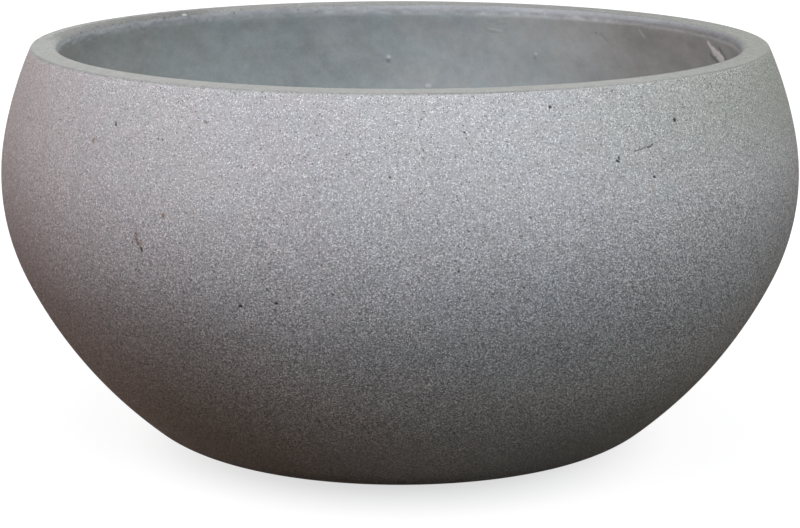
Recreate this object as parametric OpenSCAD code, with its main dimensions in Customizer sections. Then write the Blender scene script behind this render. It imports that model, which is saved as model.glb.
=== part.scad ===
// Round concrete bowl planter: a cast shell with an exposed-aggregate face,
// a trowelled rim and inside, a raised foot and a stopper in the drain hole.
// The axis of the bowl is Z. The origin is on the ground, at the centre of the foot.
// Every curve of the section is an arc that runs tangent into the next one.

/* [Bowl] */
// Outside diameter at the widest ring of the belly
bowl_d = 500; // [480:1:540]
// Height from the ground to the flat of the rim
bowl_h = 250; // [240:1:275]
// Height of the widest ring above the ground
belly_z = 168; // [160:1:180]
// Radius of the belly's curve in section
belly_r = 139; // [130:1:148]
// Angle above the horizontal at which the belly runs into the neck
neck_turn = 11; // [6:1:16]
// Radius of the flatter neck curve between the belly and the rim
neck_r = 244; // [200:1:320]
// Radius of the flank's curve between the belly and the foot
flank_r = 272; // [255:1:300]

/* [Foot] */
// Outside diameter of the flat ring that stands on the ground
foot_d = 248; // [230:1:270]
// Radius of the curve that turns up from the foot into the flank
foot_round = 60; // [45:1:75]
// Width of the flat ring that stands on the ground
foot_w = 28; // [20:1:40]
// Depth of the hollow under the floor, inside the foot ring
recess_h = 4; // [2:0.5:8]

/* [Wall] */
// Full thickness of the wall, measured square to its surface
wall_t = 22.5; // [18:0.5:26]
// Thickness of the exposed-aggregate face coat, part of the wall
coat_t = 3; // [2:0.5:5]
// Height above the ground at which the face coat stops
coat_z = 3; // [2:0.5:8]
// Thickness of the floor above the ground
floor_t = 24; // [20:1:30]
// Radius between the floor and the inside of the wall
floor_round = 45; // [30:1:60]

/* [Rim] */
// Thickness of the trowelled skim that laps over the top of the face coat
skim_t = 0.5; // [0.5:0.5:1.5]
// Radius that eases the outer corner of the rim
rim_ease = 2.5; // [1:0.5:4]
// Radius of the trowelled roll from the rim into the bowl
lip_r = 6; // [4:0.5:8]

/* [Drain] */
// Diameter of the drain hole
drain_d = 28; // [22:1:36]
// Width of the break around the lower end of the drain hole
drain_break = 2; // [1:0.5:3]
// Radial gap between the stopper's shank and the drain hole
plug_gap = 0.05; // [0.02:0.01:0.1]
// Gap between the stopper's flange and the edge of its seat in the floor
seat_gap = 1.5; // [1:0.5:3]
// Length of the shank below the flange
shank_l = 14; // [12:1:16]
// Chamfer that leads the shank into the hole
shank_lead = 2.5; // [1:0.5:4]
// Wall of the hollow shank
shank_wall = 4; // [3:0.5:6]
// Depth of the hollow in the shank
shank_bore = 10; // [6:1:11]
// How far the flange reaches past the edge of the drain hole
flange_w = 9; // [6:1:14]
// Thickness of the flange at its edge, and the depth of its seat
flange_t = 3; // [2:0.5:4]
// Rise of the flange from its edge to the knob
flange_rise = 1.5; // [0.5:0.5:3]
// Diameter of the pull knob
knob_d = 22; // [16:1:28]
// Thickness of the pull knob
knob_t = 6; // [5:0.5:10]
// Diameter of the neck under the pull knob
stem_d = 13; // [9:1:15]
// Finger room between the flange and the pull knob
stem_l = 6; // [4:0.5:10]

/* [Hidden] */
$fn = 240;

aggregate_colour = [0.62, 0.61, 0.62];
cement_colour = [0.66, 0.67, 0.65];
rubber_colour = [0.10, 0.10, 0.11];

// How far a cutting shape runs past the face that it cuts
over = 1;
// How far a chord of a curve may lie inside it
flatness = 0.02;

// ---- section geometry: x is the distance from the axis, y the height ----

// Point at an angle and a distance from a centre
function polar(centre, r, angle) = centre + r * [cos(angle), sin(angle)];

// Points along an arc, its end left to the piece of outline that follows
function arc(centre, r, start, end) =
    let (steps = ceil(abs(end - start) / (2 * acos(1 - flatness / r))))
    [for (i = [0 : steps - 1]) polar(centre, r, start + (end - start) * i / steps)];

// Angle of the line from one point to another
function bearing(start, end) = atan2(end[1] - start[1], end[0] - start[0]);

// Centre that lies r1 from p and r2 from q, on the axis side of the line from p down to q
function meet(p, r1, q, r2) =
    let (
        d = norm(q - p),
        along = (d * d + r1 * r1 - r2 * r2) / (2 * d),
        aside = sqrt(r1 * r1 - along * along),
        unit = (q - p) / d
    )
    p + along * unit + aside * [unit[1], -unit[0]];

// Centre at a given height and at a given distance from another centre, on its outer side
function level_with(height, centre, reach) =
    [centre[0] + sqrt(reach * reach - pow(height - centre[1], 2)), height];

// Arc centres and the angles at which each curve hands over to the next
belly_c = [bowl_d / 2 - belly_r, belly_z];
neck_c = polar(belly_c, belly_r - neck_r, neck_turn);
foot_c = [foot_d / 2, foot_round];
flank_c = meet(belly_c, flank_r - belly_r, foot_c, flank_r - foot_round);
foot_turn = bearing(flank_c, foot_c);
flank_turn = bearing(flank_c, belly_c);

// Easing of the rim's outer corner
ease_c = level_with(bowl_h - rim_ease, neck_c, neck_r - rim_ease);
ease_turn = bearing(neck_c, ease_c);

// Roll from the rim into the bowl, and the curve between the wall and the floor
lip_c = level_with(bowl_h - lip_r, neck_c, neck_r - wall_t + lip_r);
lip_turn = bearing(neck_c, lip_c);
corner_c = level_with(floor_t + floor_round, flank_c, flank_r - wall_t - floor_round);
corner_turn = bearing(flank_c, corner_c);

// Back of the face coat: the angle about the foot's centre at which it starts,
// and where it would meet the flat of the rim
coat_turn = -asin((foot_round - coat_z) / foot_round);
coat_top = level_with(bowl_h, neck_c, neck_r - coat_t);

// Wall curve around the belly, moved in by t, with a point on the widest ring
function belly(t) = concat(
    arc(belly_c, belly_r - t, flank_turn, 0),
    arc(belly_c, belly_r - t, 0, neck_turn)
);

// Both faces of the face coat below the neck, moved in by t
function skin(t) = concat(
    arc(foot_c, foot_round - t, coat_turn, foot_turn),
    arc(flank_c, flank_r - t, foot_turn, flank_turn),
    belly(t)
);

// Bare foot between the ground and the edge of the face coat
bare_foot = arc(foot_c, foot_round, -90, coat_turn);

// Outside of the bowl, from the ground to the flat of the rim
outside = concat(
    bare_foot,
    skin(0),
    arc(neck_c, neck_r, neck_turn, ease_turn),
    arc(ease_c, rim_ease, ease_turn, 90),
    [[ease_c[0], bowl_h]]
);

// Outside of the casting under the skim: bare at the foot, then in to the back of the face coat
casting_outside = concat(
    bare_foot,
    [polar(foot_c, foot_round, coat_turn)],
    skin(coat_t),
    arc(neck_c, neck_r - coat_t, neck_turn, bearing(neck_c, coat_top)),
    [coat_top]
);

// Inside of the bowl, from the floor over the trowelled lip
inside = concat(
    arc(corner_c, floor_round, -90, corner_turn),
    arc(flank_c, flank_r - wall_t, corner_turn, flank_turn),
    belly(wall_t),
    arc(neck_c, neck_r - wall_t, neck_turn, lip_turn),
    arc(lip_c, lip_r, lip_turn + 180, 90),
    [[lip_c[0], bowl_h], [lip_c[0], bowl_h + over]]
);

// Half section from the axis out to a line of points
module region(points) {
    last = points[len(points) - 1];
    polygon(concat([[0, points[0][1]]], points, [[0, last[1]]]));
}

// Height of the skim that closes the top of the face coat
module skim() {
    translate([0, bowl_h - skim_t]) square([bowl_d / 2, skim_t]);
}

// Hollow under the floor, with its side drawn in at 45 degrees
module recess() {
    edge_r = foot_d / 2 - foot_w;
    polygon([[0, -over], [edge_r + over, -over], [edge_r - recess_h, recess_h], [0, recess_h]]);
}

// Drain hole with a broken lower edge, and the stopper's seat with its side drawn out at 45 degrees
module drain() {
    hole_r = drain_d / 2;
    seat_r = hole_r + flange_w + seat_gap;
    seat_z = floor_t - flange_t;
    polygon([
        [0, recess_h - over],
        [hole_r + drain_break + over, recess_h - over],
        [hole_r, recess_h + drain_break],
        [hole_r, seat_z],
        [seat_r, seat_z],
        [seat_r + flange_t + over, floor_t + over],
        [0, floor_t + over]
    ]);
}

// ---- pieces ----

// Outer skin of fine exposed aggregate, from the foot's edge up to the skim of the rim
module face_coat() {
    color(aggregate_colour)
        rotate_extrude()
            difference() {
                region(outside);
                region(casting_outside);
                skim();
            }
}

// Load-bearing casting: wall, floor and foot ring, with the rim and the inside trowelled
module backing_shell() {
    color(cement_colour)
        rotate_extrude()
            difference() {
                intersection() {
                    region(outside);
                    union() {
                        region(casting_outside);
                        skim();
                    }
                }
                region(inside);
                recess();
                drain();
            }
}

// Rubber stopper: hollow shank in the drain hole, flange in its seat, pull knob above the floor
module drain_plug() {
    shank_r = drain_d / 2 - plug_gap;
    flange_r = drain_d / 2 + flange_w;
    bore_r = shank_r - shank_wall;
    stem_z = flange_t + flange_rise;
    knob_z = stem_z + stem_l;
    color(rubber_colour)
        translate([0, 0, floor_t - flange_t])
            rotate_extrude() {
                difference() {
                    polygon([
                        [0, -shank_l],
                        [shank_r - shank_lead / 2, -shank_l],
                        [shank_r, shank_lead - shank_l],
                        [shank_r, 0],
                        [flange_r - flange_t / 2, 0],
                        [flange_r - flange_t / 2, flange_t],
                        [stem_d / 2, stem_z],
                        [stem_d / 2, knob_z + knob_t / 2],
                        [0, knob_z + knob_t / 2]
                    ]);
                    translate([0, -shank_l - over]) square([bore_r, shank_bore + over]);
                }
                translate([flange_r - flange_t / 2, flange_t / 2]) circle(d = flange_t);
                translate([0, knob_z]) square([(knob_d - knob_t) / 2, knob_t]);
                translate([(knob_d - knob_t) / 2, knob_z + knob_t / 2]) circle(d = knob_t);
            }
}

face_coat();
backing_shell();
drain_plug();
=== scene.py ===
# Looks of a round concrete bowl planter: speckled face coat, trowelled casting and rubber stopper,
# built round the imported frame. Lengths are in metres and angles in radians, except where a name or a
# comment gives degrees or millimetres.
import math
import random
from functools import partial
from itertools import product

import bmesh
import bpy
from bpy.props import FloatProperty, FloatVectorProperty, IntProperty, PointerProperty
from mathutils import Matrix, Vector, noise


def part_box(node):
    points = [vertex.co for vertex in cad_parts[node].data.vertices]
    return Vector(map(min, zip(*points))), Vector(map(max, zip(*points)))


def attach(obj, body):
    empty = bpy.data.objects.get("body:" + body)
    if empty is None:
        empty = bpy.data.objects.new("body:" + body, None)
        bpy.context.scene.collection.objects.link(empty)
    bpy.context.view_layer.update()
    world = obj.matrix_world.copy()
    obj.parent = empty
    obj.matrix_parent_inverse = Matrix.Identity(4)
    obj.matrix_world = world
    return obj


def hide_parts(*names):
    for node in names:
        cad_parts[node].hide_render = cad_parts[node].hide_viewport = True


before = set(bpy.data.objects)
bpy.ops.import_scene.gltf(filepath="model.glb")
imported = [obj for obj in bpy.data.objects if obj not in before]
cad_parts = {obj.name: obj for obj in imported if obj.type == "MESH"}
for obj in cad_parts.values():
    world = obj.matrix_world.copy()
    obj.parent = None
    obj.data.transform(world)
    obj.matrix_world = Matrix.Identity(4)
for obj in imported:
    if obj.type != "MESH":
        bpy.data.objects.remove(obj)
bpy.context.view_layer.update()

bl_info = {
    "name": "Concrete Bowl Planter",
    "version": (1, 0, 0),
    "blender": (4, 5, 0),
    "location": "3D View > Sidebar > Bowl Planter",
    "description": "Builds a concrete bowl planter piece by piece round its CAD frame",
    "category": "Add Mesh",
}

MM = 0.001
coat_low, coat_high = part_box("face_coat")
rim_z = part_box("backing_shell")[1].z


# ---- sizes and colours that a user would change ----

Length = partial(FloatProperty, unit="LENGTH", precision=5)
Colour = partial(FloatVectorProperty, subtype="COLOR", size=3, min=0, max=1)


class BowlSizes(bpy.types.PropertyGroup):
    """Section of the bowl, as in the CAD source."""

    width: Length(
        name="Bowl width", description="Outside diameter at the widest ring of the belly",
        default=0.5, min=0.48, max=0.54)
    height: Length(
        name="Bowl height", description="Height from the ground to the flat of the rim",
        default=rim_z, min=0.24, max=0.275)
    belly_z: Length(
        name="Belly height", description="Height of the widest ring above the ground",
        default=0.168, min=0.16, max=0.18)
    belly_r: Length(
        name="Belly curve", description="Radius of the belly's curve in section",
        default=0.139, min=0.13, max=0.148)
    neck_turn: FloatProperty(
        name="Neck angle", description="Angle above the horizontal at which the belly runs into the neck",
        default=math.radians(11), min=math.radians(6), max=math.radians(16), subtype="ANGLE")
    neck_r: Length(
        name="Neck curve", description="Radius of the flatter curve between the belly and the rim",
        default=0.244, min=0.2, max=0.32)
    flank_r: Length(
        name="Flank curve", description="Radius of the curve between the belly and the foot",
        default=0.272, min=0.255, max=0.3)
    foot_width: Length(
        name="Foot width", description="Outside diameter of the flat ring on the ground",
        default=0.248, min=0.23, max=0.27)
    foot_round: Length(
        name="Foot curve", description="Radius of the curve from the foot up into the flank",
        default=0.06, min=0.045, max=0.075)
    foot_ring: Length(
        name="Foot ring", description="Width of the flat ring on the ground",
        default=0.028, min=0.02, max=0.04)
    recess: Length(
        name="Recess", description="Depth of the hollow under the floor",
        default=0.004, min=0.002, max=0.008)
    wall: Length(
        name="Wall", description="Full thickness of the wall",
        default=0.0225, min=0.018, max=0.026)
    coat: Length(
        name="Face coat", description="Thickness of the speckled face coat",
        default=0.003, min=0.002, max=0.005)
    coat_z: Length(
        name="Face coat edge", description="Height above the ground at which the face coat stops",
        default=coat_low.z, min=0.002, max=0.008)
    floor: Length(
        name="Floor", description="Thickness of the floor above the ground",
        default=0.024, min=0.02, max=0.03)
    floor_round: Length(
        name="Floor curve", description="Radius between the floor and the inside of the wall",
        default=0.045, min=0.03, max=0.06)
    skim: Length(
        name="Rim skim", description="Thickness of the trowelled skim over the face coat",
        default=rim_z - coat_high.z, min=0.0005, max=0.0015)
    rim_ease: Length(
        name="Rim ease", description="Radius that eases the outer corner of the rim",
        default=0.0025, min=0.001, max=0.004)
    lip: Length(
        name="Lip roll", description="Radius of the trowelled roll from the rim into the bowl",
        default=0.006, min=0.004, max=0.008)
    steps: IntProperty(
        name="Steps round", description="Steps of the turned pieces round the bowl",
        default=480, min=96, max=480)


class DrainSizes(bpy.types.PropertyGroup):
    """Drain hole, its seat and the stopper, as in the CAD source."""

    hole: Length(
        name="Drain hole", description="Diameter of the drain hole",
        default=0.028, min=0.022, max=0.036)
    hole_break: Length(
        name="Hole edge", description="Width of the break around the hole's lower end",
        default=0.002, min=0.001, max=0.003)
    gap: Length(
        name="Stopper gap", description="Radial gap between the shank and the hole",
        default=0.00005, min=0.00002, max=0.0001)
    seat_gap: Length(
        name="Seat gap", description="Gap between the flange and the edge of its seat",
        default=0.0015, min=0.001, max=0.003)
    shank: Length(
        name="Shank", description="Length of the shank below the flange",
        default=0.014, min=0.012, max=0.016)
    shank_lead: Length(
        name="Shank lead", description="Chamfer that leads the shank into the hole",
        default=0.0025, min=0.001, max=0.004)
    shank_wall: Length(
        name="Shank wall", description="Wall of the hollow shank",
        default=0.004, min=0.003, max=0.006)
    shank_bore: Length(
        name="Shank bore", description="Depth of the hollow in the shank",
        default=0.01, min=0.006, max=0.011)
    flange: Length(
        name="Flange reach", description="How far the flange reaches past the hole's edge",
        default=0.009, min=0.006, max=0.014)
    flange_t: Length(
        name="Flange", description="Thickness of the flange, and the depth of its seat",
        default=0.003, min=0.002, max=0.004)
    flange_rise: Length(
        name="Flange rise", description="Rise of the flange from its edge to the knob",
        default=0.0015, min=0.0005, max=0.003)
    knob: Length(
        name="Knob", description="Diameter of the pull knob",
        default=0.022, min=0.016, max=0.028)
    knob_t: Length(
        name="Knob thickness", description="Thickness of the pull knob",
        default=0.006, min=0.005, max=0.01)
    stem: Length(
        name="Stem", description="Diameter of the neck under the pull knob",
        default=0.013, min=0.009, max=0.015)
    stem_l: Length(
        name="Finger room", description="Height between the flange and the pull knob",
        default=0.006, min=0.004, max=0.01)


class FinishColours(bpy.types.PropertyGroup):
    """Colours of the finishes."""

    aggregate: Colour(
        name="Face coat", description="Mean colour of the exposed aggregate", default=(0.66, 0.65, 0.665))
    land: Colour(
        name="Rim", description="Colour of the struck-off rim", default=(0.388, 0.382, 0.372))
    lip: Colour(
        name="Lip", description="Colour of the roll from the rim into the bowl",
        default=(0.348, 0.355, 0.370))
    inside: Colour(
        name="Inside", description="Colour of the trowelled inside", default=(0.500, 0.516, 0.520))
    rust: Colour(
        name="Rust", description="Colour of the iron spots in the sand", default=(0.30, 0.17, 0.09))
    rubber: Colour(
        name="Stopper", description="Colour of the stopper's rubber", default=(0.022, 0.022, 0.024))
    grain: Length(
        name="Grain size", description="Width of a sand grain in the face coat",
        default=0.00052, min=0.0004, max=0.003)


# ---- marks that the mould, the trowel and time left ----

# Marks on the face coat, in degrees and millimetres: the place of each, or both its ends, as the angle
# from the front towards the right and the height, then its half width, its rise (below 0 for a pit),
# how dark it is and, where it is pale, how pale.
# The darkness of these marks is painted shade in the pits and the crack.
FACE_MARKS = (
    ((-42.1, 225.6, -42, 224.5), 0.9, -1.2, 1),
    ((20.6, 240.7), 1.15, -1, 1),
    ((40.4, 227.8), 1.5, -1.5, 1),
    ((29.8, 211.6, 29.8, 210.8), 0.75, -1, 1),
    ((29.4, 209.8, 29.7, 209.3), 0.75, -1, 1),
    ((35.1, 198.9), 1.1, -1, 1),
    ((-21.3, 130.6, -21, 131.1), 0.85, -1, 1),
    ((-37, 122.8, -36.7, 122.5), 0.8, -1, 0.9),
    ((-16.1, 134.1, -16, 134.1), 1, -1, 1),
    ((-16.3, 130.1), 0.85, -0.8, 1),
    ((-19.7, 128.3), 0.6, -0.6, 0.6),
    ((-36.9, 161.5, -36.9, 161), 0.75, -0.6, 0.9),
    ((-36, 161.4, -35.9, 160.4), 0.7, -0.4, 0.5),
    ((-35.5, 158.7, -35.4, 157.1), 0.8, -0.5, 0.9),
    ((-28.2, 144.4, -27.9, 143.8), 0.6, -0.6, 0.7),
    ((-17.7, 147.9), 0.7, -0.7, 0.8),
    ((4.6, 185.7), 0.6, -0.6, 0.7),
    ((-1.7, 168.4), 0.6, -0.6, 0.7),
    ((-24.1, 154.3), 0.6, -0.6, 0.7),
    ((40.2, 204.9), 0.65, -0.6, 0.7),
    ((-11.7, 191.3), 0.6, -0.6, 0.7),
    ((25, 125.6), 0.6, -0.6, 0.6),
    ((-29.3, 136.5, -29.3, 135.8), 0.65, -0.6, 0.8),
    ((-27, 231, -26.6, 231), 0.7, -0.5, 0.6),
    ((-29, 227.4), 0.8, -0.5, 0.5),
    ((-33.2, 220.2, -33.2, 219.6), 0.65, -0.6, 0.7),
    ((-38.6, 219), 0.7, -0.6, 0.6),
    ((32.3, 213.7, 33.2, 214), 0.45, -0.4, 0.5),
    ((33.2, 214, 34.2, 215.2), 0.45, -0.4, 0.5),
    ((34.6, 215.2, 35.2, 215.4), 0.6, -0.7, 0.8),
    ((35.3, 215.6, 35.5, 216.5), 0.55, -0.7, 0.8),
    ((36, 216.7, 36.3, 217.3), 0.45, -0.5, 0.5),
    ((-13, 136.2), 1.5, 0, 0, 1),
)
# Iron spots on the face coat: place and half width as above, then the strength of the rust.
IRON_SPOTS = (
    ((-45.8, 214.8, -45.8, 213.8), 1.7, 0.8),
    ((-31.75, 179.3, -31.75, 179), 1.6, 0.95),
    ((34.7, 192.9, 34.7, 190.9), 1.9, 0.35),
    ((-36.1, 170, -36.1, 167), 0.8, 0.4),
    ((-36.2, 166.3, -36.2, 163), 1.5, 0.75),
    ((-36, 162.6, -35.9, 160.6), 1.4, 0.65),
    ((-35.5, 162.8, -35.5, 160.8), 1.1, 0.6),
    ((-35.5, 159.1, -35.4, 156.6), 1, 0.85),
    ((-15.9, 229.1, -15.7, 228.3), 2.2, 0.12),
    ((-14.2, 203.2, -14.2, 199.4), 1.4, 0.18),
    ((-7.9, 214.5), 1.6, 0.16),
    ((-9.1, 188.2, -9.1, 186.8), 1.4, 0.16),
)
# Marks inside, written like those on the face coat, but with the angle from the back towards the right.
# Inside, the darkness beside the bumps and the scar is painted shadow.
# Their paleness on the bumps, the ridge and the scar is painted highlight; the scar is also a pale patch
# of its own.
INSIDE_MARKS = (
    ((-2.2, 210.6), 2.2, 1, 0, 0.22),
    ((-2.3, 206.9, -2, 206.9), 1.8, -0.3, 0.22),
    ((17, 232.8, 19.3, 231.3), 1.5, 0.3, 0, 0.12),
    ((17.3, 237.9, 18.5, 238.8), 1.6, -0.2, 0.13),
    ((18.8, 236.2, 20.4, 236.6), 1.5, -0.2, 0.13),
    ((25.8, 216), 1.7, 0.5, 0, 0.2),
    ((25.5, 213), 1.8, -0.3, 0.22),
    ((4.9, 189.6, 5.3, 189.3), 2, 0.4, 0, 0.3),
    ((71.4, 239.5, 72.1, 237.4), 2.2, 0.2, 0, 1),
    ((72.4, 235.8, 73.4, 236.3), 2.4, 0.3, 0, 1),
    ((72.7, 233.6, 75.3, 234.2), 2.5, 0.3, 0, 1),
    ((73.9, 231.4, 76.3, 232.1), 2.2, 0.3, 0, 1),
    ((72.7, 236, 76.4, 231.4), 3.2, 0.1, 0, 1),
    ((74.6, 229.8, 76.2, 230.5), 1.7, 0.2, 0, 0.9),
    ((71, 231.4, 73.4, 227.5), 1.7, -0.4, 0.5),
    ((75.9, 237.2, 78, 232.2), 2.2, -0.4, 0.4),
    ((50.2, 239.6, 51.1, 235.2), 1.6, 0.3, 0, 0.2),
    ((40.4, 233.1, 41.7, 228.4), 1.8, -0.3, 0.16),
    ((39.3, 234.3), 1.2, -0.4, 0.4),
    ((47, 232.4), 1.2, 0.3, 0.2),
    ((-44.4, 249, -43.9, 249), 1.4, 0.4, 0, 0.45),
)
# Pinholes strewn over the whole face coat besides the marks, and the seed that places them.
PINHOLES = 170
PINHOLE_SEED = 11

# How far the hand-worked mouth is wider at each side, and how deep into the bowl that reaches.
MOUTH_DRAW = 3.2 * MM
MOUTH_REACH = 45 * MM

# Camera: its place, its tilt from straight down in degrees and its lens in millimetres.
CAMERA_PLACE = (0, -1.6525, 0.4551)
CAMERA_TILT = 78.101
CAMERA_LENS = 119.09
# Soft lamps far away: degrees from the front towards the right, degrees up, strength, colour.
LAMPS = {
    "right_key": (31, 35, 1.47, (0.80, 0.92, 1.0)),
    "left_key": (-30, 60, 1.17, (0.92, 0.91, 1.0)),
    "top_light": (0, 88, 0.74, (0.88, 1.0, 0.90)),
    "back_light": (180, 30, 0.66, (0.87, 1.0, 0.94)),
    "left_light": (-60, 40, 0.33, (1.0, 0.80, 0.78)),
    "front_light": (0, 45, 0.42, (1.0, 0.97, 1.0)),
    "left_glow": (-80, 9, 0.43, (1.0, 0.72, 0.62)),
    "right_glow": (90, 35, 0.31, (1.0, 0.69, 0.37)),
}
# Degrees of sky that each lamp fills.
LAMP_SPREAD = 34


# ---- section geometry: the first number is the distance from the axis, the second the height ----


def polar(centre, r, angle):
    """Point at an angle in radians and a distance from a centre."""
    return Vector((centre[0] + r * math.cos(angle), centre[1] + r * math.sin(angle)))


def bearing(start, end):
    """Angle of the line from one point to another."""
    return math.atan2(end[1] - start[1], end[0] - start[0])


def arc(centre, r, start, end, step):
    """Points along an arc about a step apart, its end left to what follows."""
    count = max(1, math.ceil(abs(end - start) * r / step))
    return [polar(centre, r, start + (end - start) * i / count) for i in range(count)]


def line(start, end, step):
    """Points along a straight line about a step apart, its end left to what follows."""
    start, end = Vector(start), Vector(end)
    count = max(1, math.ceil((end - start).length / step))
    return [start.lerp(end, i / count) for i in range(count)]


def meet(p, r1, q, r2):
    """Centre that lies r1 from p and r2 from q, on the axis side of the line from p down to q."""
    d = (q - p).length
    along = (d * d + r1 * r1 - r2 * r2) / (2 * d)
    aside = math.sqrt(r1 * r1 - along * along)
    unit = (q - p) / d
    return p + along * unit + aside * Vector((unit.y, -unit.x))


def level_with(height, centre, reach):
    """Centre at a given height and distance from another centre, on its outer side."""
    return Vector((centre[0] + math.sqrt(reach**2 - (height - centre[1]) ** 2), height))


class Section:
    """Centres and angles of the tangent arcs that make the bowl's section."""

    def __init__(self, s):
        self.s = s
        self.belly_c = Vector((s.width / 2 - s.belly_r, s.belly_z))
        self.neck_c = polar(self.belly_c, s.belly_r - s.neck_r, s.neck_turn)
        self.foot_c = Vector((s.foot_width / 2, s.foot_round))
        self.flank_c = meet(self.belly_c, s.flank_r - s.belly_r, self.foot_c, s.flank_r - s.foot_round)
        self.foot_turn = bearing(self.flank_c, self.foot_c)
        self.flank_turn = bearing(self.flank_c, self.belly_c)
        self.ease_c = level_with(s.height - s.rim_ease, self.neck_c, s.neck_r - s.rim_ease)
        self.ease_turn = bearing(self.neck_c, self.ease_c)
        self.lip_c = level_with(s.height - s.lip, self.neck_c, s.neck_r - s.wall + s.lip)
        self.lip_turn = bearing(self.neck_c, self.lip_c)
        self.corner_c = level_with(
            s.floor + s.floor_round, self.flank_c, s.flank_r - s.wall - s.floor_round)
        self.corner_turn = bearing(self.flank_c, self.corner_c)
        self.coat_turn = -math.asin((s.foot_round - s.coat_z) / s.foot_round)
        self.skim_z = s.height - s.skim

    def skin(self, t, step):
        """Wall curves from the face coat's lower edge to the neck, moved in by t."""
        s = self.s
        return [
            *arc(self.foot_c, s.foot_round - t, self.coat_turn, self.foot_turn, step),
            *arc(self.flank_c, s.flank_r - t, self.foot_turn, self.flank_turn, step),
            *arc(self.belly_c, s.belly_r - t, self.flank_turn, s.neck_turn, step),
        ]

    def back(self, step):
        """Back of the face coat, from its lower edge up to the underside of the skim."""
        r = self.s.neck_r - self.s.coat
        top = level_with(self.skim_z, self.neck_c, r)
        return [*self.skin(self.s.coat, step),
                *arc(self.neck_c, r, self.s.neck_turn, bearing(self.neck_c, top), step), top]

    def skim_turn(self):
        """Angle about the ease's centre at which the skim starts."""
        return math.asin((self.skim_z - self.ease_c[1]) / self.s.rim_ease)

    def outer_r(self, z, t=0.0):
        """Radius of the outside at a height, moved in by t."""
        s = self.s
        flank_z = self.flank_c[1] + s.flank_r * math.sin(self.foot_turn)
        belly_z = self.flank_c[1] + s.flank_r * math.sin(self.flank_turn)
        neck_z = self.belly_c[1] + s.belly_r * math.sin(s.neck_turn)
        if z < flank_z:
            centre, r = self.foot_c, s.foot_round
        elif z < belly_z:
            centre, r = self.flank_c, s.flank_r
        elif z < neck_z:
            centre, r = self.belly_c, s.belly_r
        else:
            centre, r = self.neck_c, s.neck_r
        return centre[0] + math.sqrt(max(0.0, (r - t) ** 2 - (z - centre[1]) ** 2))

    def on_face(self, degrees, height):
        """Point on the outside, degrees from the front towards the right and millimetres up."""
        turn, z = math.radians(degrees), height * MM
        r = self.outer_r(z)
        return Vector((r * math.sin(turn), -r * math.cos(turn), z))

    def on_wall(self, degrees, height):
        """Point on the inside, degrees from the back towards the right and millimetres up."""
        turn, z = math.radians(degrees), height * MM
        r = self.outer_r(z, self.s.wall)
        if z > self.lip_c[1]:
            r = self.lip_c[0] - math.sqrt(self.s.lip ** 2 - (z - self.lip_c[1]) ** 2)
        return Vector((r * math.sin(turn), r * math.cos(turn), z))


# ---- modelling ----


def deselect():
    """Leaves edit mode and nothing selected."""
    if bpy.context.mode != "OBJECT":
        bpy.ops.object.mode_set(mode="OBJECT")
    bpy.ops.object.select_all(action="DESELECT")


def select_only(piece):
    """Leaves one piece selected and active."""
    deselect()
    bpy.context.view_layer.objects.active = piece
    piece.select_set(True)


def select_mesh():
    """Selects all of the mesh in edit mode."""
    bpy.ops.mesh.select_all(action="SELECT")


def turned(name, outline, steps, corners=(), closed=True, sectors=8):
    """Draws an outline with extruded vertices, rounds its corners and spins it, sector by sector."""
    deselect()
    start = Vector(outline[0])
    bpy.ops.mesh.primitive_plane_add(size=0.01, location=(start.x, 0, start.y))
    piece = bpy.context.object
    piece.name = piece.data.name = name
    bpy.ops.object.transform_apply(location=True, rotation=True, scale=True)
    bpy.ops.object.mode_set(mode="EDIT")
    select_mesh()
    bpy.ops.mesh.merge(type="CENTER")
    path = [Vector(p) for p in outline]
    if closed:
        path.append(path[0])
    for here, there in zip(path, path[1:]):
        step = there - here
        bpy.ops.mesh.extrude_region_move(TRANSFORM_OT_translate={"value": (step.x, 0, step.y)})
    select_mesh()
    bpy.ops.mesh.remove_doubles(threshold=1e-6)
    for corner, radius in corners:
        soften(piece, corner, radius)
    select_mesh()
    share = 2 * math.pi / sectors
    bpy.ops.mesh.spin(steps=steps // sectors, angle=share, center=(0, 0, 0), axis=(0, 0, 1))
    select_mesh()
    bpy.ops.mesh.spin(
        steps=sectors - 1, dupli=True, angle=share * (sectors - 1), center=(0, 0, 0), axis=(0, 0, 1))
    select_mesh()
    bpy.ops.mesh.remove_doubles(threshold=1e-6)
    bpy.ops.mesh.normals_make_consistent(inside=False)
    bpy.ops.mesh.faces_shade_smooth()
    deselect()
    return piece


def soften(piece, corner, radius):
    """Rounds one corner of a drawn outline."""
    mesh = bmesh.from_edit_mesh(piece.data)
    spot = Vector((corner[0], 0, corner[1]))
    nearest = min(mesh.verts, key=lambda v: (v.co - spot).length)
    for v in mesh.verts:
        v.select_set(v is nearest)
    mesh.select_flush_mode()
    bmesh.update_edit_mesh(piece.data)
    bpy.ops.mesh.bevel(affect="VERTICES", offset=radius, segments=2, profile=0.5)


def refine(piece, wanted, cuts):
    """Subdivides the faces whose middle the test wants."""
    select_only(piece)
    bpy.ops.object.mode_set(mode="EDIT")
    bpy.ops.mesh.select_mode(type="FACE")
    bpy.ops.mesh.select_all(action="DESELECT")
    mesh = bmesh.from_edit_mesh(piece.data)
    for face in mesh.faces:
        face.select_set(wanted(face.calc_center_median()))
    bmesh.update_edit_mesh(piece.data)
    bpy.ops.mesh.subdivide(number_cuts=cuts, ngon=False)
    bpy.ops.mesh.select_mode(type="VERT")
    deselect()


def split_sharp(piece, degrees=50):
    """Keeps the edges that turn by more than some degrees sharp."""
    select_only(piece)
    bpy.ops.object.shade_smooth_by_angle(angle=math.radians(degrees))
    deselect()


def round_noise(point, around, up):
    """Smooth noise from -1 to 1, as wide as around along the bowl and as high as up across it."""
    r = math.hypot(point.x, point.y)
    return noise.noise(Vector((point.x / around, point.y / around, (point.z - r) / up)))


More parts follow.
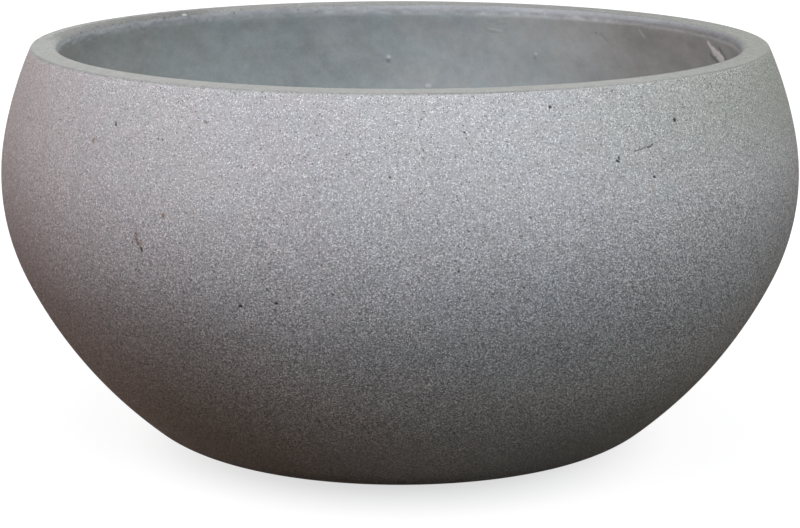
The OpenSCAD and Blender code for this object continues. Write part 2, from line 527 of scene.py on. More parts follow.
def push(piece, depth):
    """Moves every vertex along its normal by what depth gives for it."""
    moves = [(v, v.normal.copy(), depth(v)) for v in piece.data.vertices]
    for v, normal, d in moves:
        if d:
            v.co += normal * d
    piece.data.update()


def clamp(value):
    """The value, kept from 0 to 1."""
    return min(1.0, max(0.0, value))


def widen(piece, section, top):
    """Draws the mouth out at both sides, where the hand-worked opening is a little wider."""
    for v in piece.data.vertices:
        r = math.hypot(v.co.x, v.co.y)
        below = top - v.co.z
        if below > MOUTH_REACH or r > section.outer_r(v.co.z) - 2 * MM:
            continue
        inward = clamp((section.ease_c.x - r) / (10 * MM))
        shift = MOUTH_DRAW * (v.co.x / r) ** 4 * inward * (1 - below / MOUTH_REACH) ** 1.5
        v.co.x *= 1 + shift / r
        v.co.y *= 1 + shift / r
    piece.data.update()


class Mark:
    """A mark with round ends between two places, which are the same for a round mark.
    Its width comes in millimetres, and its rise stays in them."""

    def __init__(self, on, ends, width, rise=0.0, dark=0.0, pale=0.0):
        self.start, self.end = on(*ends[:2]), on(*ends[-2:])
        self.middle = (self.start + self.end) / 2
        self.width = width * MM
        self.rise, self.dark, self.pale = rise, dark, pale

    def away(self, point):
        """Distance of a point from the mark's middle line."""
        run = self.end - self.start
        along = (point - self.start).dot(run) / max(run.length_squared, 1e-12)
        return (point - self.start - run * clamp(along)).length

    def share(self, point):
        """1 on the middle line of the mark and 0 at its edge."""
        share = min(1.0, self.away(point) / self.width)
        return (1 - share * share) ** 1.5

    def touches(self, point, margin):
        """Tells whether a point lies on the mark or within a margin of it."""
        return self.away(point) < self.width + margin


def near(marks, cell=0.02):
    """Gives the marks close to a point, from a grid of cells."""
    grid = {}
    for mark in marks:
        home = [math.floor(c / cell) for c in mark.middle]
        for step in product((-1, 0, 1), repeat=3):
            grid.setdefault(tuple(h + d for h, d in zip(home, step)), []).append(mark)
    return lambda point: grid.get(tuple(math.floor(c / cell) for c in point), ())


def stain(piece, name, close, kind, fill=1.7):
    """Stores on every vertex, for the finish to read, how dark or pale the marks there are.
    The greater the fill, the more of a mark's width has its full strength."""
    layer = piece.data.attributes.new(name, "FLOAT", "POINT")
    for v in piece.data.vertices:
        shares = (getattr(m, kind) * min(1, fill * m.share(v.co)) for m in close(v.co))
        layer.data[v.index].value = max(shares, default=0.0)


# ---- finishes ----


class Level:
    """A number socket of a finish. Sums and products of it add Math nodes."""

    def __init__(self, finish, socket):
        self.finish, self.socket = finish, socket

    def join(self, operation, *others):
        """This number and the others through one Math node."""
        inputs = dict(enumerate((self, *others)))
        node = self.finish.node("ShaderNodeMath", {"operation": operation}, inputs)
        return Level(self.finish, node.outputs[0])

    def __add__(self, other):
        return self.join("ADD", other)

    __radd__ = __add__

    def __sub__(self, other):
        return self.join("SUBTRACT", other)

    def __rsub__(self, other):
        return self.join("MULTIPLY_ADD", -1, other)

    def __mul__(self, other):
        return self.join("MULTIPLY", other)

    __rmul__ = __mul__

    def __truediv__(self, other):
        return self.join("DIVIDE", other)

    def hypot(self, other):
        """Length of the vector that this and the other make."""
        return (self * self + other * other).join("SQRT")

    def at_least(self, other):
        """The greater of this and the other."""
        return self.join("MAXIMUM", other)

    def at_most(self, other):
        """The smaller of this and the other."""
        return self.join("MINIMUM", other)

    def ramp(self, low, high, start=0.0, end=1.0):
        """Runs smoothly from start to end while this runs from low to high."""
        node = self.finish.node(
            "ShaderNodeMapRange", {"interpolation_type": "SMOOTHSTEP"},
            {"Value": self, "From Min": low, "From Max": high, "To Min": start, "To Max": end})
        return Level(self.finish, node.outputs[0])

    def fade(self, low, high):
        """Falls smoothly from 1 to 0 while this runs from low to high."""
        return self.ramp(low, high, 1, 0)


class Finish:
    """A material, or the world, that is put together node by node."""

    def __init__(self, owner):
        self.owner = owner
        owner.use_nodes = True
        self.tree = owner.node_tree
        self.tree.nodes.clear()
        self.place = self.node("ShaderNodeTexCoord").outputs["Object"]

    def node(self, kind, settings=None, inputs=None):
        """Adds a node: its settings or a ramp's stops first, then the values or links of its sockets."""
        node = self.tree.nodes.new(kind)
        for key, value in (settings or {}).items():
            if key == "stops":
                self.set_stops(node.color_ramp, value)
            else:
                setattr(node, key, value)
        for key, value in (inputs or {}).items():
            socket = node.inputs[key]
            value = value.socket if isinstance(value, Level) else value
            if isinstance(value, bpy.types.NodeSocket):
                self.tree.links.new(value, socket)
            else:
                socket.default_value = value
        return node

    def set_stops(self, ramp, stops):
        """Gives a ramp its stops of position and grey value."""
        while len(ramp.elements) < len(stops):
            ramp.elements.new(0.5)
        for element, (position, value) in zip(ramp.elements, stops):
            element.position, element.color = position, (value, value, value, 1)

    def parts(self, vector):
        """The three numbers of a vector or colour."""
        node = self.node("ShaderNodeSeparateXYZ", None, {0: vector})
        return [Level(self, node.outputs[i]) for i in range(3)]

    def vector(self, x, y, z):
        """A vector from three numbers."""
        return self.node("ShaderNodeCombineXYZ", None, {0: x, 1: y, 2: z}).outputs[0]

    def noise(self, width, detail=2.0, rough=0.5, place=None):
        """Smooth noise from 0 to 1 about 0.5, with features of a width."""
        node = self.node(
            "ShaderNodeTexNoise", {"noise_dimensions": "3D"},
            {"Vector": place or self.place, "Scale": 1 / width, "Detail": detail, "Roughness": rough})
        return Level(self, node.outputs[0])

    def cells(self, width):
        """Cells of a width: the distance from the middle, and three random numbers of the cell."""
        node = self.node(
            "ShaderNodeTexVoronoi", {"voronoi_dimensions": "3D", "feature": "F1"},
            {"Vector": self.place, "Scale": 1 / width})
        return Level(self, node.outputs["Distance"]), self.parts(node.outputs["Color"])

    def stored(self, name):
        """A value that the mesh carries."""
        node = self.node("ShaderNodeAttribute", {"attribute_type": "GEOMETRY", "attribute_name": name})
        return Level(self, node.outputs["Fac"])

    def stops(self, level, *stops):
        """A number that follows stops of position and value, in straight runs."""
        node = self.node("ShaderNodeValToRGB", {"stops": stops}, {0: level})
        return self.parts(node.outputs[0])[0]

    def mix(self, factor, first, second):
        """A colour between two colours."""
        def full(c):
            return c if isinstance(c, bpy.types.NodeSocket) else (*c[:3], 1)
        node = self.node(
            "ShaderNodeMix", {"data_type": "RGBA", "clamp_factor": True},
            {0: factor, 6: full(first), 7: full(second)})
        return node.outputs[2]

    def scaled(self, colour, factor):
        """A colour made lighter or darker."""
        return self.node(
            "ShaderNodeVectorMath", {"operation": "SCALE"}, {0: colour, "Scale": factor}).outputs[0]

    def bump(self, height, distance):
        """Normal for a height from 0 to 1 that stands for a distance."""
        return self.node(
            "ShaderNodeBump", None, {"Strength": 1.0, "Distance": distance, "Height": height}).outputs[0]

    def surface(self, colour, roughness, normal, specular):
        """Ends the material with the surface shader."""
        shader = self.node("ShaderNodeBsdfPrincipled", None, {
            "Base Color": colour, "Roughness": roughness, "Normal": normal,
            "Specular IOR Level": specular})
        self.node("ShaderNodeOutputMaterial", None, {"Surface": shader.outputs[0]})
        return self.owner


def tinted(colour, red, green, blue):
    """A colour with its three parts scaled."""
    return (colour[0] * red, colour[1] * green, colour[2] * blue)


def cement_colour(f, colours):
    """Colour and relief of the cement: struck level on the rim, rolled at the lip, trowelled inside."""
    x, y, z = f.parts(f.place)
    around = x.hypot(y)

    # Trowel strokes that slant, long sweeps round the bowl, clouds, pores and crumbs
    turn = z * -5
    cos, sin = turn.join("COSINE"), turn.join("SINE")
    along = y * z.ramp(0.05, 0.15, 1, 0.45)
    wall_place = f.vector(x, along, z)
    slant = f.vector((x * cos - along * sin) * 68, (x * sin + along * cos) * 68, z * 52)
    strokes = f.noise(1.0, 4, 0.66, slant)
    sweeps = f.noise(1.0, 3, 0.55, f.vector(x * 9, y * 9, (z - around) * 75))
    clouds = f.noise(0.055, 3, 0.55, wall_place)
    mottle = f.noise(0.008, 4, 0.65, wall_place)
    patches = f.noise(0.019, 3, 0.6, wall_place)
    fine = f.noise(0.0016, 2, 0.6)
    crumb = f.noise(0.006, 4, 0.65)
    pore, (pick, _, _) = f.cells(0.009)
    pores = pore.fade(0.03, 0.07) * pick.ramp(0.7, 0.74)

    # Where the lip and the rim start, most ragged at the back left
    rough_side = (y * 0.66 - x * 0.75).ramp(0.1, 0.2)
    drop = x.ramp(0.03, 0.12) * 0.0006 - x.ramp(-0.16, -0.1, 0.0008, 0)
    lip = (z - drop + (crumb - 0.5) * 0.006 + (mottle - 0.5) * 0.008).ramp(0.2425, 0.2462)
    rim = (z + (crumb - 0.5) * (rough_side * 0.004 + 0.0024) + rough_side * 0.0008).ramp(0.2489, 0.2494)
    rim = rim.at_least(around.ramp(0.216, 0.219) * z.ramp(0.2455, 0.2475))
    inner = 1 - rim

    # Plain colours, with a darker and browner right side
    cool, warm = tinted(colours.inside, 0.975, 1.006, 1.012), tinted(colours.inside, 1.02, 0.992, 0.975)
    wall = f.mix(f.noise(0.034, 3, 0.6).ramp(0.35, 0.65), cool, warm)
    brown = tinted(colours.inside, 0.94, 0.915, 0.89)
    wall = f.mix(x.ramp(0.1, 0.18) * y.ramp(0.02, 0.12), wall, brown)
    base = f.mix(lip, wall, colours.lip)
    land = f.mix(x.ramp(0.12, 0.23), colours.land, tinted(colours.land, 0.86, 0.87, 0.84))
    base = f.mix(rim, base, land)

    # How light or dark the cement is: its working first, then painted shade and painted light on the
    # inside and the lip
    worked = (sweeps - 0.5) * 0.1 + (strokes - 0.5) * 0.34 + (clouds - 0.5) * 0.18
    worked = worked + (mottle - 0.5) * 0.36 + (patches - 0.5) * 0.2
    tone = 1 + worked * inner + (clouds - 0.5) * 0.06 + (fine - 0.5) * 0.2 + (crumb - 0.5) * lip * 0.4
    # Painted shade: the inside is darker at both sides, where its wall is shaded, and less so on the lip
    # near the middle.
    shade_left = x.ramp(-0.14, -0.03, 0.08, 0) + x.ramp(-0.15, -0.06, 0.1, 0.16) * x.fade(-0.05, 0.04)
    shade_left = shade_left * (1 - lip * x.ramp(-0.1, -0.02) * 0.7)
    shade_right = x.ramp(0.11, 0.17) * 0.1 - x.ramp(0.06, 0.1) * 0.04
    tone = tone - (shade_left + shade_right) * inner
    # Painted light: the lip's roll is lighter on the right and at the left end.
    bright_side = x.ramp(0.04, 0.1) * x.fade(0.15, 0.19)
    left_end = x.ramp(-0.205, -0.165, 0.24, 0.02) * x.fade(-0.13, -0.09)
    roll = z.ramp(0.2436, 0.2456) * z.fade(0.2468, 0.2484)
    lit_roll = z.ramp(0.2464, 0.2482) * bright_side * 0.12 + roll * (bright_side * 0.17 + left_end)
    tone = tone + lit_roll * inner
    # Lighter just under the lip, right of the middle.
    under_lip = z.ramp(0.205, 0.238) * x.ramp(0.03, 0.08) * x.fade(0.13, 0.17) * (1 - lip)
    tone = tone + under_lip * inner * 0.13

    # The rim: broken away at the back left, sandy, with painted shade darker to the back, and a little
    # darker to the right
    broken = x.fade(-0.15, -0.115) * y.ramp(-0.01, 0.03)
    broken = broken * (around + (crumb - 0.5) * 0.008).fade(0.2205, 0.2245) * rim
    tone = tone * (1 - broken * 0.3)
    _, (sand, _, _) = f.cells(colours.grain * 1.5)
    tone = tone + (sand - 0.5) * rim * 0.24
    # Painted shade: the level rim is darker to the back, though it faces up all round.
    tone = tone - y.ramp(0.02, 0.21) * rim * 0.24 - x.ramp(-0.1, 0.2) * rim * 0.06
    speck, (dark, _, _) = f.cells(0.0042)
    specks = speck.fade(0.12, 0.26) * dark.ramp(0.45, 0.55) * lip * (rough_side * 0.8 + 0.2)
    # Painted shade in the pores; the rough lip also gets dark specks.
    tone = tone * (1 - pores * inner * 0.3) * (1 - specks * 0.4)

    height = strokes * 0.3 + sweeps * 0.3 + fine * 0.25 + mottle * 0.3 + crumb * lip * 0.8 - pores * 0.8
    return f.scaled(base, tone), height


def aggregate_finish(colours):
    """Exposed sand: light quartz, grey and dark grains in grey cement, with pinholes and iron spots."""
    f = Finish(bpy.data.materials.new("exposed_aggregate"))
    x, y, z = f.parts(f.place)

    # Grains, finer grains between them, single chips and pinholes
    relief, (pick, hue, _) = f.cells(colours.grain)
    fines, (pick_fine, _, _) = f.cells(colours.grain * 0.55)
    hole, (chosen, _, _) = f.cells(0.0065)
    holes = hole.fade(0.04, 0.075) * chosen.ramp(0.50, 0.55)
    chip, (picked, _, _) = f.cells(0.0011)
    chips = chip.fade(0.12, 0.36) * picked.ramp(0.72, 0.92) - chip.ramp(0.45, 0.8) * 0.1
    wander = f.noise(0.0026, 2, 0.6)
    grain = f.stops(pick, (0, 0.35), (0.02, 0.5), (0.045, 0.88), (0.5, 0.96), (0.84, 1.01), (1.0, 1.05))
    bright = pick.ramp(0.88, 1.0) * 0.6
    tone = grain + bright + chips * 0.55 + (pick_fine - 0.5) * 0.22 + (wander - 0.5) * 0.03

    # The sand's contrast is raised below the belly and to the right, where light grazes its grains:
    # painted relief shading
    painted_relief_contrast = z.ramp(0.09, 0.23, 5.0, 1.85) * z.ramp(0.015, 0.06, 0.5, 1)
    painted_relief_contrast = painted_relief_contrast * x.ramp(-0.2, 0.05, 0.84, 0.98) * x.ramp(0.04, 0.2, 1, 1.45)
    tone = (1 + (tone - 1) * painted_relief_contrast).at_least(0.2).at_most(1.6)
    tone = tone * (1 + (f.noise(0.012, 2) - 0.5) * 0.08 + (f.noise(0.09, 2) - 0.5) * 0.12)
    # Painted shade in the pinholes.
    tone = tone * (1 - holes * 0.8)
    # Painted shade low on the front left.
    side = x / x.hypot(y)
    left_shade = side.ramp(-0.8, -0.62) * side.fade(-0.5, -0.25) * z.fade(0.11, 0.16)
    tone = tone * (1 - left_shade * 0.08)

    # Patches: warm and cool, darker and greener at the upper right, pink at the left edge, brown at the
    # foot, and painted shade at the foot on the right
    plain = colours.aggregate
    warm, cool = tinted(plain, 1.01, 0.996, 0.994), tinted(plain, 0.992, 1.002, 1.006)
    patch = f.mix(f.noise(0.016, 2).ramp(0.35, 0.65), warm, cool)
    patch = f.mix(x.ramp(0.04, 0.23) * z.ramp(0.18, 0.235), patch, tinted(plain, 0.82, 0.845, 0.775))
    patch = f.mix(x.fade(-0.245, -0.16), patch, tinted(plain, 1.0, 0.95, 0.94))
    patch = f.mix(z.fade(0.03, 0.13), patch, tinted(plain, 1.03, 0.955, 0.88))
    # Painted contact shade: darker and browner low on the right, near the ground.
    patch = f.mix(x.ramp(0.0, 0.12) * z.fade(0.02, 0.085), patch, tinted(plain, 0.69, 0.64, 0.58))
    ochre_grains = hue.ramp(0.975, 0.995) * 0.6
    colour = f.scaled(f.mix(ochre_grains, patch, (0.58, 0.43, 0.31)), tone)

    # Marks, and the cement that laps over the coat's upper edge
    colour = f.mix(f.stored("rust"), colour, f.scaled(colours.rust, tone))
    # Painted shade in the pits, pinholes and crack.
    colour = f.mix(f.stored("soil") * 0.92, colour, (0.03, 0.028, 0.027))
    colour = f.mix(f.stored("bloom") * 0.9, colour, (0.97, 0.97, 0.96))
    lap = (z + (f.noise(0.003, 3) - 0.5) * 0.004 + (pick - 0.5) * 0.001).ramp(0.2482, 0.2495)
    lap = lap * (z - x.ramp(-0.02, 0.12) * 0.0009).ramp(0.248, 0.2486)
    cement, _ = cement_colour(f, colours)
    colour = f.mix(lap, colour, cement)
    height = (1 - relief) * 0.5 + (1 - fines) * 0.2 + wander * 0.4 + pick * 0.3 + chips * 0.3 - holes
    return f.surface(colour, 0.92 - bright * 0.35, f.bump(height * (1 - lap), 0.0004), 0.1)


def cement_finish(colours):
    """Struck and trowelled cement, smooth, with faint streaks, clouds and pores."""
    f = Finish(bpy.data.materials.new("trowelled_cement"))
    colour, height = cement_colour(f, colours)
    x, y, z = f.parts(f.place)
    around = x.hypot(y)
    _, (pick, _, _) = f.cells(colours.grain * 1.3)
    bare_foot = around.ramp(0.1228, 0.1245) * z.fade(0.0035, 0.0045)
    colour = f.mix(bare_foot, colour, f.scaled(colours.aggregate, 0.75 + pick * 0.4))
    outer_edge = (around + (f.noise(0.003, 3) - 0.5) * 0.003).ramp(0.2268, 0.2278)
    colour = f.scaled(colour, 1 - outer_edge * (0.14 - pick * 0.28))
    # Painted shadow beside the bumps and the scar.
    colour = f.mix(f.stored("soil") * 0.75, colour, (0.075, 0.06, 0.062))
    # Painted highlight on the bumps, the ridge and the scar.
    colour = f.mix(f.stored("bloom") * 0.9, colour, (0.95, 0.93, 0.94))
    return f.surface(colour, 0.92 - height * 0.08, f.bump(height, 0.0002), 0.1)


def rubber_finish(colours):
    """Black moulded rubber with a little dust in patches and a fine mould seam."""
    f = Finish(bpy.data.materials.new("stopper_rubber"))
    _, y, _ = f.parts(f.place)
    dust = f.noise(0.006, 4, 0.65).ramp(0.45, 0.75) * 0.5
    colour = f.mix(dust * 0.35, colours.rubber, (0.22, 0.21, 0.19))
    fine = f.noise(0.0007, 3, 0.6)
    seam = y.join("ABSOLUTE").fade(0.00012, 0.0003)
    return f.surface(colour, 0.5 + dust * 0.5, f.bump(fine + seam * 1.5, 0.00006), 0.4)


def seen_ray(f):
    """1 for rays that show the background: camera, glossy and transmission rays."""
    path = f.node("ShaderNodeLightPath")
    camera, glossy, through = (
        Level(f, path.outputs[name]) for name in ("Is Camera Ray", "Is Glossy Ray", "Is Transmission Ray"))
    return camera.at_least(glossy).at_least(through)


def floor_finish():
    """A white floor whose glow is dimmer round the foot, a painted soft shadow; its grey paper also keeps
    the bowl's real shadow, and it throws little light back at the bowl.
    """
    f = Finish(bpy.data.materials.new("studio_floor"))
    x, y, _ = f.parts(f.place)
    away = (x * 1.12).hypot(y + 0.02)
    # Painted shadow: the glow is dimmer close to the foot and reaches full white further out.
    glow = away.ramp(0.10, 0.20, 0.66, 0.93) + away.ramp(0.2, 0.6, 0.0, 0.07)
    white = f.node("ShaderNodeEmission", None, {"Color": (1, 1, 1, 1), "Strength": glow})
    paper = f.node("ShaderNodeBsdfDiffuse", None, {"Color": (0.13, 0.13, 0.13, 1)})
    both = f.node("ShaderNodeAddShader", None, {0: white.outputs[0], 1: paper.outputs[0]})
    dark = f.node("ShaderNodeBsdfDiffuse", None, {"Color": (0.034, 0.022, 0.010, 1)})
    seen = f.node("ShaderNodeMixShader", None, {0: seen_ray(f), 1: dark.outputs[0], 2: both.outputs[0]})
    f.node("ShaderNodeOutputMaterial", None, {"Surface": seen.outputs[0]})
    return f.owner


def background():
    """A world that is white to the camera and gives next to no light."""
    f = Finish(bpy.data.worlds.new("studio"))
    white = f.node("ShaderNodeBackground", None, {"Color": (1, 1, 1, 1), "Strength": 1.0})
    dim = f.node("ShaderNodeBackground", None, {"Color": (1, 1, 1, 1), "Strength": 0.005})
    seen = f.node("ShaderNodeMixShader", None, {0: seen_ray(f), 1: dim.outputs[0], 2: white.outputs[0]})
    f.node("ShaderNodeOutputWorld", None, {"Surface": seen.outputs[0]})
    return f.owner


# ---- operators ----


class PLANTER_OT_face_coat(bpy.types.Operator):
    """Build the speckled face coat"""

    bl_idname = "planter.face_coat"
    bl_label = "Face Coat"

    def execute(self, context):
        sizes = context.scene.bowl_sizes
        section = Section(sizes)
        step = 3 * MM
        outline = [
            *section.skin(0, step),
            *arc(section.neck_c, sizes.neck_r, sizes.neck_turn, section.ease_turn, step),
            *arc(section.ease_c, sizes.rim_ease, section.ease_turn, section.skim_turn(), 0.6 * MM),
            polar(section.ease_c, sizes.rim_ease, section.skim_turn()),
            *reversed(section.back(12 * MM)),
        ]
        piece = turned("exposed_aggregate_coat", outline, sizes.steps)
        rng = random.Random(PINHOLE_SEED)
        marks = [Mark(section.on_face, *mark) for mark in FACE_MARKS]
        for _ in range(PINHOLES):
            turn, z = rng.uniform(-180, 180), rng.uniform(12, 244)
            width, deep, dark = rng.uniform(0.45, 0.95), rng.uniform(0.5, 0.9), rng.uniform(0.55, 0.95)
            marks.append(Mark(section.on_face, (turn, z), width, -deep, dark))
        close = near(marks)
        rusty = near([Mark(section.on_face, ends, width, dark=rust) for ends, width, rust in IRON_SPOTS])
        refine(piece, lambda c: any(m.touches(c, 2.1 * MM) for m in (*close(c), *rusty(c))), 5)

        def depth(v):
            if math.hypot(v.co.x, v.co.y) < section.outer_r(v.co.z) - 1.5 * MM:
                return 0.0
            fade = clamp((v.co.z - 4 * MM) / (20 * MM))
            wave = round_noise(v.co, 0.11, 0.06) + 0.4 * round_noise(v.co, 0.03, 0.025)
            pit = min((m.rise * m.share(v.co) for m in close(v.co)), default=0.0)
            return ((0.1 * wave - 0.14) * fade + min(0.0, pit)) * MM

        # Painted shade in the pits, pinholes and crack.
        stain(piece, "soil", close, "dark")
        stain(piece, "bloom", close, "pale")
        stain(piece, "rust", rusty, "dark", fill=1)
        push(piece, depth)
        split_sharp(piece)
        piece.data.materials.append(aggregate_finish(context.scene.planter_colours))
        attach(piece, "bowl")
        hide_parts("face_coat")
        return {"FINISHED"}


class PLANTER_OT_casting(bpy.types.Operator):
    """Build the trowelled casting with its rim, inside, floor and foot"""

    bl_idname = "planter.casting"
    bl_label = "Casting"

    def execute(self, context):
        sizes, drain = context.scene.bowl_sizes, context.scene.drain_sizes
        section = Section(sizes)
        hole_r = drain.hole / 2
        seat_r = hole_r + drain.flange + drain.seat_gap
        seat_z = sizes.floor - drain.flange_t
        seat_edge = (seat_r + drain.flange_t, sizes.floor)
        hole_mouth = (hole_r + drain.hole_break, sizes.recess)
        hole_edge = (hole_r, sizes.recess + drain.hole_break)
        ring_r = sizes.foot_width / 2 - sizes.foot_ring
        recess_edge = (ring_r - sizes.recess, sizes.recess)
        step = 4.2 * MM
        top = sizes.height
        # Each stretch has a step of its own, finer where it curves more or carries more marks
        outline = [
            *line((ring_r, 0), (sizes.foot_width / 2, 0), 7 * MM),
            *arc(section.foot_c, sizes.foot_round, -math.pi / 2, section.coat_turn, 2.5 * MM),
            polar(section.foot_c, sizes.foot_round, section.coat_turn),
            *section.back(20 * MM),
            polar(section.ease_c, sizes.rim_ease, section.skim_turn()),
            *arc(section.ease_c, sizes.rim_ease, section.skim_turn(), math.pi / 2, 0.5 * MM)[1:],
            *line((section.ease_c.x, top), (section.lip_c.x, top), 2.4 * MM),
            *arc(section.lip_c, sizes.lip, math.pi / 2, section.lip_turn + math.pi, 1.4 * MM),
            *arc(section.neck_c, sizes.neck_r - sizes.wall, section.lip_turn, sizes.neck_turn, step),
            *arc(section.belly_c, sizes.belly_r - sizes.wall, sizes.neck_turn, section.flank_turn, step),
            *arc(section.flank_c, sizes.flank_r - sizes.wall,
                 section.flank_turn, section.corner_turn, step),
            *arc(section.corner_c, sizes.floor_round, section.corner_turn, -math.pi / 2, step),
            *line((section.corner_c.x, sizes.floor), seat_edge, 6.5 * MM),
            seat_edge,
            (seat_r, seat_z),
            (hole_r, seat_z),
            hole_edge,
            *line(hole_mouth, recess_edge, 12 * MM),
            recess_edge,
        ]
        corners = (
            (seat_edge, 1.0 * MM),
            ((seat_r, seat_z), 0.8 * MM),
            ((hole_r, seat_z), 0.5 * MM),
            (hole_edge, 0.5 * MM),
            (hole_mouth, 0.5 * MM),
            (recess_edge, 1.2 * MM),
            ((ring_r, 0), 0.8 * MM),
        )
        piece = turned("trowelled_casting", outline, sizes.steps, corners)

        close = near([Mark(section.on_wall, *mark) for mark in INSIDE_MARKS])
        refine(piece, lambda c: c.z > top - 7.5 * MM and math.hypot(c.x, c.y) < section.lip_c.x, 1)
        refine(piece, lambda c: any(m.touches(c, 2.5 * MM) for m in close(c)), 4)

        def ragged_side(p):
            """1 at the back left, where the lip was left rough."""
            turn = math.degrees(math.atan2(p.x, p.y))
            return math.exp(-((turn + 49) / 20) ** 2)

        def worn(p):
            """Millimetres by which the top of the wall is rubbed back at both sides."""
            share = p.x / max(1e-9, math.hypot(p.x, p.y))
            side = share ** 6
            if p.y > 0:
                side = max(side, clamp((share - 0.15) / 0.5))
            below = (top - p.z) / MM
            return 1.6 * side * min(1.0, below / 5) * max(0.0, 1 - max(0.0, below - 5) / 30)

        def depth(v):
            p = v.co
            r = math.hypot(p.x, p.y)
            if p.z > top - 0.05 * MM:
                return (0.05 * round_noise(p, 0.03, 0.004) - 0.06) * MM
            if p.z < seat_z - 0.1 * MM or r > section.outer_r(p.z) - 5 * MM:
                return 0.0
            wave = 0.42 * round_noise(p, 0.09, 0.035) + 0.16 * round_noise(p, 0.03, 0.012)
            wave += 0.07 * round_noise(p, 0.014, 0.006)
            fade = clamp((r - seat_r) / (12 * MM)) * min(1.0, (top - p.z) / (3 * MM))
            lip = max(0.0, 1 - abs(top - 3.5 * MM - p.z) / (3.5 * MM))
            ragged = 0.3 + 0.7 * max(0.0, 0.3 + round_noise(p, 0.12, 0.3)) + 0.4 * ragged_side(p)
            crumbs = lip * ragged * (round_noise(p, 0.007, 0.004) + 0.5 * round_noise(p, 0.0035, 0.002))
            rise = sum(m.rise * m.share(p) for m in close(p))
            moved = wave * fade + crumbs + rise - worn(p)
            return (min(moved, 0.1) if p.z > top - 2 * MM else moved) * MM

        # Painted shadow beside the bumps and the scar.
        stain(piece, "soil", close, "dark")
        # Painted highlight on the bumps, the ridge and the scar.
        stain(piece, "bloom", close, "pale")
        push(piece, depth)
        widen(piece, section, top)
        split_sharp(piece)
        piece.data.materials.append(cement_finish(context.scene.planter_colours))
        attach(piece, "bowl")
        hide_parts("backing_shell")
        return {"FINISHED"}


class PLANTER_OT_stopper(bpy.types.Operator):
    """Build the rubber stopper"""

    bl_idname = "planter.stopper"
    bl_label = "Stopper"

    def execute(self, context):
        sizes, d = context.scene.bowl_sizes, context.scene.drain_sizes
        seat_z = sizes.floor - d.flange_t
        hole_r = d.hole / 2
        shank_r, flange_r = hole_r - d.gap, hole_r + d.flange
        bore_r = shank_r - d.shank_wall
        stem_z = d.flange_t + d.flange_rise
        knob_z = stem_z + d.stem_l
        knob_top = knob_z + d.knob_t
        half_knob = d.knob_t / 2
        knob_r = d.knob / 2 - half_knob
        edge = d.flange_t / 2
        groove_r, groove_z = hole_r + d.flange * 0.55, d.flange_t + d.flange_rise * 0.3
        quarter = math.pi / 2
        outline = [
            (0, d.shank_bore - d.shank),
            (bore_r, d.shank_bore - d.shank),
            (bore_r, -d.shank),
            (shank_r - d.shank_lead / 2, -d.shank),
            (shank_r, d.shank_lead - d.shank),
            (shank_r, 0),
            *arc((flange_r - edge, edge), edge, -quarter, quarter, 0.5 * MM),
            (flange_r - edge, d.flange_t),
            (groove_r, groove_z),
            (groove_r - 0.3 * MM, groove_z - 0.4 * MM),
            (groove_r - 1.1 * MM, groove_z - 0.4 * MM),
            (groove_r - 1.4 * MM, groove_z),
            (d.stem / 2, stem_z),
            (d.stem / 2, knob_z),
            *arc((knob_r, knob_z + half_knob), half_knob, -quarter, quarter, 0.7 * MM),
            (knob_r, knob_top),
            (knob_r - 1.2 * MM, knob_top - 0.6 * MM),
            (1.6 * MM, knob_top - 0.6 * MM),
            (1.3 * MM, knob_top - 0.2 * MM),
            (0, knob_top - 0.2 * MM),
        ]
        outline = [(r, z + seat_z) for r, z in outline]
        corners = (
            (outline[1], 0.8 * MM), (outline[2], 0.5 * MM), (outline[3], 0.4 * MM), (outline[4], 0.5 * MM),
            ((d.stem / 2, stem_z + seat_z), 1.2 * MM), ((d.stem / 2, knob_z + seat_z), 1.0 * MM),
        )
        piece = turned("drain_stopper", outline, 96, corners, closed=False)
        split_sharp(piece)
        piece.data.materials.append(rubber_finish(context.scene.planter_colours))
        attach(piece, "stopper")
        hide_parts("drain_plug")
        return {"FINISHED"}


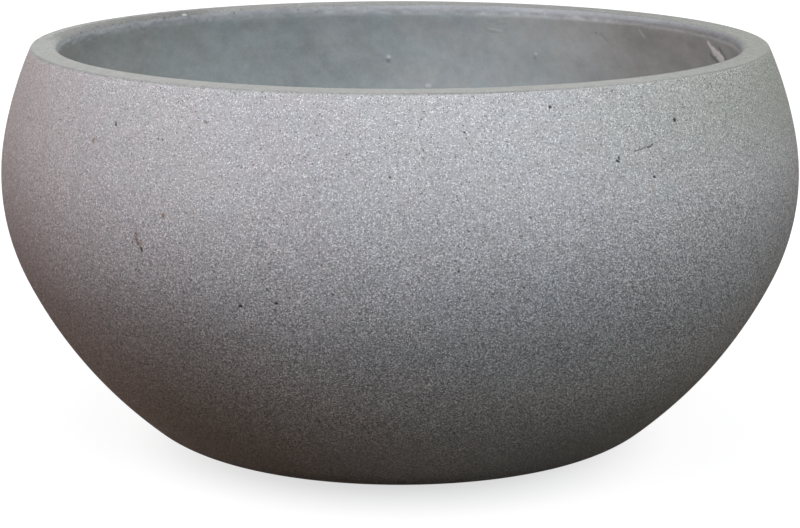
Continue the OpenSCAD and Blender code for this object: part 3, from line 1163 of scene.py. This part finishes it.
class PLANTER_OT_stage(bpy.types.Operator):
    """Build the floor, lamps, background and camera"""

    bl_idname = "planter.stage"
    bl_label = "Stage"

    def execute(self, context):
        deselect()
        bpy.ops.mesh.primitive_circle_add(
            vertices=96, radius=14, fill_type="NGON", location=(0, 0, -0.05 * MM))
        floor = context.object
        floor.name = "studio_floor"
        floor.data.materials.append(floor_finish())
        for name, (azimuth, elevation, strength, colour) in LAMPS.items():
            bpy.ops.object.light_add(type="SUN")
            lamp = context.object
            lamp.name = name
            lamp.rotation_euler = aim(azimuth, elevation).to_track_quat("Z", "Y").to_euler()
            lamp.data.angle = math.radians(LAMP_SPREAD)
            lamp.data.energy = strength
            lamp.data.color = colour
        context.scene.world = background()
        bpy.ops.object.camera_add(location=CAMERA_PLACE, rotation=(math.radians(CAMERA_TILT), 0, 0))
        camera = context.object
        camera.data.sensor_width = 36
        camera.data.lens = CAMERA_LENS
        camera.data.clip_end = 60
        context.scene.camera = camera
        context.scene.view_settings.view_transform = "Standard"
        return {"FINISHED"}


def aim(azimuth, elevation):
    """Unit vector towards a lamp, by its degrees from the front towards the right and its degrees up."""
    a, e = math.radians(azimuth), math.radians(elevation)
    return Vector((math.sin(a) * math.cos(e), -math.cos(a) * math.cos(e), math.sin(e)))


class PLANTER_PT_panel(bpy.types.Panel):
    """Lists the pieces and their sizes"""

    bl_label = "Bowl Planter"
    bl_idname = "PLANTER_PT_panel"
    bl_space_type = "VIEW_3D"
    bl_region_type = "UI"
    bl_category = "Bowl Planter"

    def draw(self, context):
        layout = self.layout
        for name, group in GROUPS.items():
            column = layout.column(align=True)
            for value in group.__annotations__:
                column.prop(getattr(context.scene, name), value)
        for operator in OPERATORS:
            layout.operator(operator.bl_idname)


OPERATORS = (PLANTER_OT_face_coat, PLANTER_OT_casting, PLANTER_OT_stopper, PLANTER_OT_stage)
GROUPS = {"bowl_sizes": BowlSizes, "drain_sizes": DrainSizes, "planter_colours": FinishColours}
CLASSES = (*GROUPS.values(), *OPERATORS, PLANTER_PT_panel)


def register():
    for cls in CLASSES:
        bpy.utils.register_class(cls)
    for name, group in GROUPS.items():
        setattr(bpy.types.Scene, name, PointerProperty(type=group))


def unregister():
    for name in GROUPS:
        delattr(bpy.types.Scene, name)
    for cls in reversed(CLASSES):
        bpy.utils.unregister_class(cls)


def main():
    register()
    bpy.ops.planter.face_coat()
    bpy.ops.planter.casting()
    bpy.ops.planter.stopper()
    bpy.ops.planter.stage()


if __name__ == "__main__":
    main()
